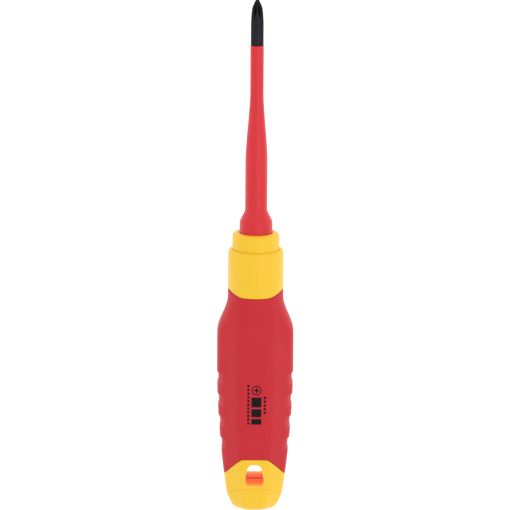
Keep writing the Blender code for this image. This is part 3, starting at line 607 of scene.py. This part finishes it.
SPINE_SHOULDER = GRIP_FRONT - 9.3 * MM
CAP_RADIUS = 10.06 * MM
CAP_FLAT, CAP_SIDE = 20.5 * MM, 13.6 * MM
CREASE_FLAT, CREASE_SIDE = 9.0 * MM, 6.2 * MM
CREASE_DEPTH, CREASE_HALF = 0.12 * MM, 0.14 * MM
ARCH_FROM = 0.42  # share of the half width where the cap's two lines start to run back
ARCH_SOFTNESS = 0.1
DOME_NARROWING = 0.245  # how much the rear end is smaller than the crease
DOME_SQUARENESS = 6  # power of its rounded corner
CORNER_FILLET = 0.40
EDGE = 0.35 * MM


def eight_sided(angles, roundness=0.0):
    """Distance to a filleted octagon whose flats are 1 from the centre, one of them facing up.

    On a flat it is 1 / cos d, d being the angle from the flat's middle. On a corner's fillet f it
    is c cos e + sqrt(f^2 - c^2 sin^2 e), e being the angle from the corner and c the distance to
    the fillet's centre. Roundness grows the fillets until, at 1, the section is a circle.
    """
    off_flat = np.abs((angles + pi / 8) % (pi / 4) - pi / 8)
    fillet = CORNER_FILLET + (1 - CORNER_FILLET) * roundness
    flat_ends = np.arctan((1 - fillet) * np.tan(pi / 8))
    centre = (1 - fillet) / np.cos(pi / 8)
    off_corner = pi / 8 - off_flat
    beside = centre * np.sin(off_corner)
    on_fillet = centre * np.cos(off_corner) + np.sqrt(fillet**2 - beside**2)
    return np.where(off_flat <= flat_ends, 1 / np.cos(off_flat), on_fillet)


def arched(at_flat, at_side, start):
    """A line of stations that is level over the middle of the upper and lower faces and runs evenly
    to the sides: (r + sqrt(r^2 + softness^2)) / 2, r being the share of the way from start to the
    side."""
    share = np.minimum(np.abs(np.sin(FULL_TURN)) * eight_sided(FULL_TURN), 1.0)
    run = (share - start) / (1 - start)
    return at_flat + (at_side - at_flat) * (run + np.sqrt(run**2 + ARCH_SOFTNESS**2))[None, :] / 2


def outside(stations, angles=FULL_TURN):
    """Distance from the axis to the handle's outside, without its grooves. The flats ease out from
    the collar to the belly, and behind the belly they close in by a power of the distance."""
    neck = eased((NECK_FRONT - stations) / NECK_LENGTH)
    rise = COLLAR_RADIUS + (BELLY_RADIUS - COLLAR_RADIUS) * neck
    fall = np.clip((BELLY_REAR - stations) / (BELLY_REAR - CREASE_SIDE), 0, None) ** TAPER_POWER
    taper = BELLY_RADIUS - (BELLY_RADIUS - CAP_RADIUS) * fall
    flats = np.where(stations >= BELLY_REAR, rise, taper)
    return flats * eight_sided(angles, 1 - neck)


def rounded_edge(edge, surface, side, size, steps=5):
    """Rings of a rounded edge, from the surface down to the edge. side is +1 where the piece lies
    in front of its edge and -1 where it lies behind."""
    turn = np.radians(np.linspace(0, 90, steps + 1))[:, None]
    stations = edge + side * size * (1 - np.sin(turn))
    return stations, surface(stations) - size * (1 - np.cos(turn))


crease_line = arched(CREASE_FLAT, CREASE_SIDE, ARCH_FROM)
cap_line = arched(CAP_FLAT, CAP_SIDE, ARCH_FROM)
collar_line = arched(GRIP_FRONT, GRIP_FRONT + COLLAR_DIP, DIP_FROM)
dome = np.linspace(0.02, 1.0, 60)[:, None] ** 2.5  # rings crowd together at the rear end
dome_corner = (1 - (1 - dome) ** DOME_SQUARENESS) ** (1 / DOME_SQUARENESS)
dome_reach = outside(crease_line) * (1 - DOME_NARROWING * (1 - dome)) * dome_corner
cap_start = crease_line + 2 * CREASE_HALF
cap_stations = cap_start + (cap_line - EDGE - cap_start) * np.linspace(0, 0.99, 44)[:, None]
cap_edge = rounded_edge(cap_line, outside, -1, EDGE)
collar_edge = rounded_edge(collar_line, lambda s: COLLAR_RADIUS + 0 * s, 1, EDGE)
lip = bend(COLLAR_RADIUS - COLLAR_LIP, COLLAR_FRONT - COLLAR_LIP, COLLAR_LIP, 0, 90, 14)
lip[:, 0] = np.maximum(lip[:, 0], COLLAR_BORE + MOUTH_EDGE)
mouth = bend(COLLAR_BORE + MOUTH_EDGE, COLLAR_FRONT - MOUTH_EDGE, MOUTH_EDGE, 90, 180, 3)
sleeve_floor = COLLAR_FRONT - SLEEVE_CHAMBER
spring_floor = sleeve_floor - SPRING_CHAMBER
bands = [
    (crease_line * dome, dome_reach),
    (crease_line + CREASE_HALF, outside(crease_line + CREASE_HALF) - CREASE_DEPTH),
    (cap_stations, outside(cap_stations)),
    (cap_edge[0][:-1], cap_edge[1][:-1]),
    (cap_line, SPINE_RADIUS * eight_sided(FULL_TURN)[None, :]),
    level(SPINE_SHOULDER, SPINE_RADIUS * eight_sided(FULL_TURN)),
    level(SPINE_SHOULDER, NECK_CORE),
    (collar_line, NECK_CORE + 0 * collar_line),
    (collar_edge[0][::-1], collar_edge[1][::-1]),
    level(lip[:, 1], lip[:, :1]),
    level(mouth[1:, 1], mouth[1:, :1]),
    level(sleeve_floor, COLLAR_BORE),
    level([sleeve_floor, spring_floor], CHAMBER_RADIUS),
    level([spring_floor, SOCKET_REAR - PLAY], SOCKET_RADIUS + PLAY),
]
core = skin("core_moulding", round_the_axis(*map(np.vstack, zip(*bands))), sharp=28)


def on_top(stations, across):
    """Height over the axis of the upper face, at a distance to the left of its middle. The
    section's shape gives the angle whose point lies that far out, for its size at the station."""
    angles = np.linspace(-0.9, 0.9, 400)
    size = outside(stations, 0.0)
    angle = np.interp(across / size, eight_sided(angles) * np.sin(angles), angles)
    return size * eight_sided(angle) * np.cos(angle)


def hole_outline(grow):
    """The hanging hole's outline, as stations and distances to the left: a trapezoid that widens
    towards the rear, each corner an arc, pushed outwards by grow along each arc's direction."""
    left = np.array([(18.4, 2.2), (12.3, 3.5), (10.5, 2.8)])
    corners = np.vstack([left, left[::-1] * (1, -1)]) * MM
    rounding = np.array([1.9, 1.2, 0.9, 0.9, 1.2, 1.9])[:, None] * MM
    before = np.roll(corners, 1, axis=0) - corners
    after = np.roll(corners, -1, axis=0) - corners
    before /= np.linalg.norm(before, axis=1, keepdims=True)
    after /= np.linalg.norm(after, axis=1, keepdims=True)
    middle = before + after
    middle /= np.linalg.norm(middle, axis=1, keepdims=True)
    half = np.arccos(np.sum(before * after, axis=1, keepdims=True)) / 2
    centre = corners + middle * rounding / np.sin(half)
    start = np.arctan2(*(-middle).T[::-1])[:, None]
    sweep = (pi / 2 - half) * np.linspace(-1, 1, 11)
    turn = start + sweep
    arm = np.stack([np.cos(turn), np.sin(turn)], axis=-1)
    outline = centre[:, None] + arm * (rounding[:, :, None] + grow)
    return outline.reshape(-1, 2)


def hanging_hole():
    """What the hanging hole takes away: from the upper face down to the axis and on to the lower
    face. Its edges are rounded and its walls lean in to a ridge halfway, where the mould parts."""
    rim, lean, clear_out, clear_up = 0.4, 0.3, 0.9, 0.5  # in millimetres
    turn = np.radians([0, 30, 60, 90])
    grow = np.concatenate([[clear_out], rim * (1 - np.sin(turn)), [-lean]]) * MM
    sink = np.concatenate([[-clear_up], rim * (1 - np.cos(turn)), [0]]) * MM
    ridge = len(grow) - 1
    rings = []
    for side, order in ((1, range(ridge + 1)), (-1, range(ridge - 1, -1, -1))):
        for i in order:
            station, across = hole_outline(grow[i]).T
            up = on_top(station, across) - sink[i] if i < ridge else 0 * station
            rings.append(on_axis(station, across, side * up))
    shape = skin("hanging_hole", np.stack(rings))
    shape.data.materials.append(YELLOW_NYLON)
    shape.data.materials.append(HOLE_WALL_PAINTED_LIGHT)
    shape.data.polygons.foreach_set("material_index", np.ones(len(shape.data.polygons), dtype=int))
    return shape


# In the hole the wall is the same yellow nylon with light and shade painted into its colour: an
# orange tint for the light that bounces between its walls, a yellower tone towards the faces, where
# more light falls in, and a darker band halfway, painted shade at the ridge where the mould's two
# pins met. The emission adds a painted glow, as if light came through the wall.
HOLE_WALL_PAINTED_LIGHT, wall_tree, wall_shader = finish(
    "yellow_nylon_hole_wall_painted_light", (0.5, 0.5, 0.5), ("#F0804A", "#F48850"), 0.006,
    Roughness=0.6, IOR=1.53, Specular_IOR_Level=0.1, Emission_Strength=0.32,
)
wall_place = add(wall_tree, "ShaderNodeTexCoord", {}, {}).outputs["Object"]
wall_height = add(wall_tree, "ShaderNodeSeparateXYZ", {}, {"Vector": wall_place}).outputs["Z"]
off_middle = add(wall_tree, "ShaderNodeMath", {"operation": "SUBTRACT"},
                 {0: wall_height, 1: AXIS_Z})
wall_away = add(wall_tree, "ShaderNodeMath", {"operation": "ABSOLUTE"}, {0: off_middle.outputs[0]})
# Painted shade: a darker band round the middle of the hole, at the ridge where the mould's pins
# met.
middle_shade = add(wall_tree, "ShaderNodeMapRange", {"interpolation_type": "SMOOTHSTEP"},
              {"Value": wall_away.outputs[0], "From Min": 0.8 * MM, "From Max": 2.4 * MM,
               "To Min": 1.0, "To Max": 0.0})
# Painted light: the wall turns yellower and lighter towards the upper and lower faces, where more
# light falls into the hole.
lit_towards_faces = add(wall_tree, "ShaderNodeMapRange", {"interpolation_type": "SMOOTHSTEP"},
                {"Value": wall_away.outputs[0], "From Min": 4.5 * MM, "From Max": 11.5 * MM})
wall_bounce_orange = wall_shader.inputs["Base Color"].links[0].from_socket
wall_lit_tone = add(wall_tree, "ShaderNodeMix", {"data_type": "RGBA"},
                {0: lit_towards_faces.outputs[0], 6: wall_bounce_orange, 7: linear("#F0B050")})
wall_shaded_tone = add(wall_tree, "ShaderNodeMix", {"data_type": "RGBA"},
                {0: middle_shade.outputs[0], 6: wall_lit_tone.outputs[2], 7: linear("#BC583A")})
wall_tree.links.new(wall_shaded_tone.outputs[2], wall_shader.inputs["Base Color"])
# Painted glow: the painted wall tone also feeds the emission, so the wall glows faintly though it
# is no lamp.
wall_tree.links.new(wall_shaded_tone.outputs[2], wall_shader.inputs["Emission Color"])
core.data.materials.append(YELLOW_NYLON)
core.data.materials.append(HOLE_WALL_PAINTED_LIGHT)
cut_away(core, [
    hanging_hole(),
    cross_pin("core_pin_hole", PIN_RADIUS + PIN_ROOM, COLLAR_RADIUS + 2 * MM, CUT_CHAMFER),
], 28)
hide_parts("handle_core")
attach(core, "handle")

# --- The grip ---------------------------------------------------------------------------------
# Soft red thermoplastic rubber, moulded over the spine in a second shot, flush with the collar and
# the cap. Four finger grooves are let into each side.
GROOVE_COUNT = 4
FIRST_GROOVE = BELLY_REAR - 4.9 * MM
LAST_GROOVE = CAP_FLAT + 4.3 * MM
GROOVE_DEPTH = 0.50 * MM
GROOVE_FLOOR = 3.0 * MM
GROOVE_RAMP = 1.3 * MM
GROOVE_FULL_TO = radians(23)  # from the sides
GROOVE_FADE = radians(13)  # from there to where a groove has faded out
SEAM = 0.06 * MM
REAR_EDGE = 0.45 * MM


def grooved(stations):
    """The outside less the grooves, which have a level floor between two eased ramps and fade out
    round the axis towards the upper and lower faces."""
    pitch = (FIRST_GROOVE - LAST_GROOVE) / (GROOVE_COUNT - 1)
    nearest = np.clip(np.round((stations - LAST_GROOVE) / pitch), 0, GROOVE_COUNT - 1)
    away = stations - LAST_GROOVE - nearest * pitch
    along = 1 - eased((np.abs(away) - GROOVE_FLOOR / 2) / GROOVE_RAMP)
    from_side = np.arccos(np.clip(np.abs(np.sin(FULL_TURN)), 0, 1))
    across = 1 - eased((from_side - GROOVE_FULL_TO) / GROOVE_FADE)
    return outside(stations) - GROOVE_DEPTH * along * across


rear_line = cap_line + SEAM
front_line = collar_line - SEAM
level_rear, level_front = CAP_FLAT + 1.6 * MM, GRIP_FRONT - 1.4 * MM  # of the level rings
rear_edge = rounded_edge(rear_line, grooved, 1, REAR_EDGE)
front_edge = rounded_edge(front_line, grooved, -1, EDGE)
step = np.linspace(0, 1, 14)[1:-1, None]
towards_rear = rear_line + REAR_EDGE + (level_rear - rear_line - REAR_EDGE) * step
towards_front = level_front + (front_line - EDGE - level_front) * step
straight = np.linspace(level_rear, level_front, 300)[:, None] + 0 * FULL_TURN
inner_spine = (SPINE_RADIUS + SEAM) * eight_sided(FULL_TURN)[None, :]
bands = [
    (rear_edge[0][::-1], rear_edge[1][::-1]),
    (towards_rear, grooved(towards_rear)),
    (straight, grooved(straight)),
    (towards_front, grooved(towards_front)),
    front_edge,
    (front_line, NECK_CORE + SEAM + 0 * front_line),
    level(SPINE_SHOULDER + SEAM, NECK_CORE + SEAM),
    (SPINE_SHOULDER + SEAM + 0 * front_line, inner_spine),
    (rear_line, inner_spine),
]
grip = skin("grip_moulding", round_the_axis(*map(np.vstack, zip(*bands))), True, 50)
# Thermoplastic rubber off a sand-blasted mould: matt, with a grain of 0.2 mm and a pale bloom at
# grazing angles.
grip.data.materials.append(
    finish("moulded_red_rubber", (0.2, 0.2, 0.2), ("#C01B29", "#C6202E"), 0.012, Roughness=0.62,
           IOR=1.48, Specular_IOR_Level=0.35, Sheen_Weight=0.08, Sheen_Roughness=0.4)[0]
)
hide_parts("grip_cover")
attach(grip, "handle")

# --- The printed mark -------------------------------------------------------------------------
# Black pad print on the upper face of the grip: a ring with a cross in it for the blade's kind,
# plain bars behind it, and a row of ticks on either side.
INK = 0.02 * MM  # how far it stands proud, and how far it reaches below the surface
# The stations and widths of the print are in millimetres.
COLUMN_LEFT, COLUMN_RIGHT = 1.25, -2.35  # of the ring and the bars, to the left of the axis
COLUMN_MIDDLE = (COLUMN_LEFT + COLUMN_RIGHT) / 2
HOOP_STATION, HOOP_INSIDE, HOOP_OUTSIDE = 46.9, 1.45, 1.8
CROSS_REACH, CROSS_HALF = 1.0, 0.25
TICK_LENGTH, TICK_PITCH = 0.9, 1.4


def printed(stations, across, closed=False):
    """Ink over a patch of the grip, given by grids of stations and distances to the left. A closed
    patch is a hoop."""
    up = on_top(stations, across)
    top = on_axis(stations, across, up + INK)
    under = on_axis(stations, across, up - INK)
    return skin("ink", np.concatenate([top, under[:, ::-1]], axis=1), closed, 60)


def bar(rear, front, right, left):
    """A printed rectangle."""
    stations, across = np.linspace(rear, front, 16), np.linspace(right, left, 8)
    return printed(*np.meshgrid(stations * MM, across * MM, indexing="ij"))


def ticks(rear, count, right, left):
    """A row of short printed rectangles, the first one at the rear."""
    starts = [rear + TICK_PITCH * i for i in range(count)]
    return [bar(start, start + TICK_LENGTH, right, left) for start in starts]


around = np.radians(np.arange(0, 360, 5))[:, None]
hoop = np.array([HOOP_INSIDE, HOOP_OUTSIDE])
hoop_stations = HOOP_STATION + np.cos(around) * hoop
hoop_across = COLUMN_MIDDLE + np.sin(around) * hoop
arm_rear, arm_front = HOOP_STATION - CROSS_HALF, HOOP_STATION + CROSS_HALF
ink = [
    printed(hoop_stations * MM, hoop_across * MM, True),
    bar(HOOP_STATION - CROSS_REACH, HOOP_STATION + CROSS_REACH,
        COLUMN_MIDDLE - CROSS_HALF, COLUMN_MIDDLE + CROSS_HALF),
    bar(arm_rear, arm_front, COLUMN_MIDDLE - CROSS_REACH, COLUMN_MIDDLE - CROSS_HALF),
    bar(arm_rear, arm_front, COLUMN_MIDDLE + CROSS_HALF, COLUMN_MIDDLE + CROSS_REACH),
]
for rear, front in ((40.6, 44.3), (36.9, 39.9), (34.1, 36.2)):
    ink.append(bar(rear, front, COLUMN_RIGHT, COLUMN_LEFT))
ink += ticks(34.1, 11, 1.95, 2.75)
ink += ticks(38.1, 5, -3.95, -3.15)
together = bmesh.new()
for patch in ink:
    together.from_mesh(patch.data)
    bpy.data.objects.remove(patch)
ink_mesh = bpy.data.meshes.new("pad_print")
together.to_mesh(ink_mesh)
together.free()
mark = put("pad_print", ink_mesh, 60)
# Solvent ink: matt black, laid thin, so it follows the rubber's grain.
PAD_INK = finish("black_pad_ink", (0.2, 0.2, 0.2), ("#0D0506", "#140809"), 0.006, Roughness=0.7,
                 IOR=1.5, Specular_IOR_Level=0.2)[0]
mark.data.materials.append(PAD_INK)
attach(mark, "handle")

# --- The light table, the light and the camera ------------------------------------------------
# A white light table under an even white dome that is darker overhead, where the camera is, and
# one large soft lamp from the right.
TABLE_HALF = 3.0
TABLE_UNDER, TABLE_TOP = -0.02, -0.0002  # just below the tool, so that the two don't meet
table_corners = TABLE_HALF * np.array([(-1, -1), (1, -1), (1, 1), (-1, 1)])
floor = skin("table", np.array(
    [[(x, y, z) for x, y in table_corners] for z in (TABLE_UNDER, TABLE_TOP)]
))
table_material = bpy.data.materials.new("white_light_table")
table_material.use_nodes = True
table_shader = table_material.node_tree.nodes["Principled BSDF"]
table_shader.inputs["Base Color"].default_value = (0.25, 0.25, 0.25, 1)
table_shader.inputs["Roughness"].default_value = 0.9
table_shader.inputs["Specular IOR Level"].default_value = 0.0
table_shader.inputs["Emission Color"].default_value = (1, 1, 1, 1)
table_shader.inputs["Emission Strength"].default_value = 0.95
floor.data.materials.append(table_material)

world = bpy.data.worlds.new("white_dome")
bpy.context.scene.world = world
world.use_nodes = True
sky = world.node_tree
direction = add(sky, "ShaderNodeTexCoord", {}, {}).outputs["Generated"]
height = add(sky, "ShaderNodeSeparateXYZ", {}, {"Vector": direction}).outputs["Z"]
strength = add(sky, "ShaderNodeMapRange", {"interpolation_type": "SMOOTHSTEP"},
               {"Value": height, "From Min": 0.6, "From Max": 1.0, "To Min": 1.0, "To Max": 0.9})
sky.links.new(strength.outputs[0], sky.nodes["Background"].inputs["Strength"])
sky.nodes["Background"].inputs["Color"].default_value = (1, 1, 1, 1)

lamp_data = bpy.data.lights.new("soft_lamp", "AREA")
lamp_data.shape = "RECTANGLE"
lamp_data.size = 1.2
lamp_data.size_y = 0.9
lamp_data.energy = 3.0
lamp = bpy.data.objects.new("soft_lamp", lamp_data)
lamp.location = (0.1, -0.6, 1.3)
lamp.rotation_euler = (-Vector(lamp.location)).to_track_quat("-Z", "Y").to_euler()
bpy.context.scene.collection.objects.link(lamp)

VIEW_DISTANCE = 4.0
VIEW_LEAN = radians(13.9)  # how far the view leans from straight down towards the tip
VIEW_ROLL = radians(0.37)
VIEW_CENTRE = Vector((-0.0004, 0.0003, AXIS_Z))
FRAME_HEIGHT = 0.1836  # metres that fit in the view at the axis
SENSOR_WIDTH = 36
back = Vector((np.sin(VIEW_LEAN), 0, np.cos(VIEW_LEAN)))
tip_up = Vector((np.cos(VIEW_LEAN), 0, -np.sin(VIEW_LEAN)))
to_right = Vector((0, -1, 0))
view_right = to_right * np.cos(VIEW_ROLL) + tip_up * np.sin(VIEW_ROLL)
view_up = tip_up * np.cos(VIEW_ROLL) - to_right * np.sin(VIEW_ROLL)
camera_data = bpy.data.cameras.new("camera")
camera_data.sensor_width = SENSOR_WIDTH
camera_data.lens = SENSOR_WIDTH * VIEW_DISTANCE / FRAME_HEIGHT
camera = bpy.data.objects.new("camera", camera_data)
turn = Matrix((view_right, view_up, back)).transposed()
camera.matrix_world = Matrix.Translation(VIEW_CENTRE + back * VIEW_DISTANCE) @ turn.to_4x4()
bpy.context.scene.collection.objects.link(camera)
bpy.context.scene.camera = camera
bpy.context.scene.view_settings.view_transform = "Standard"
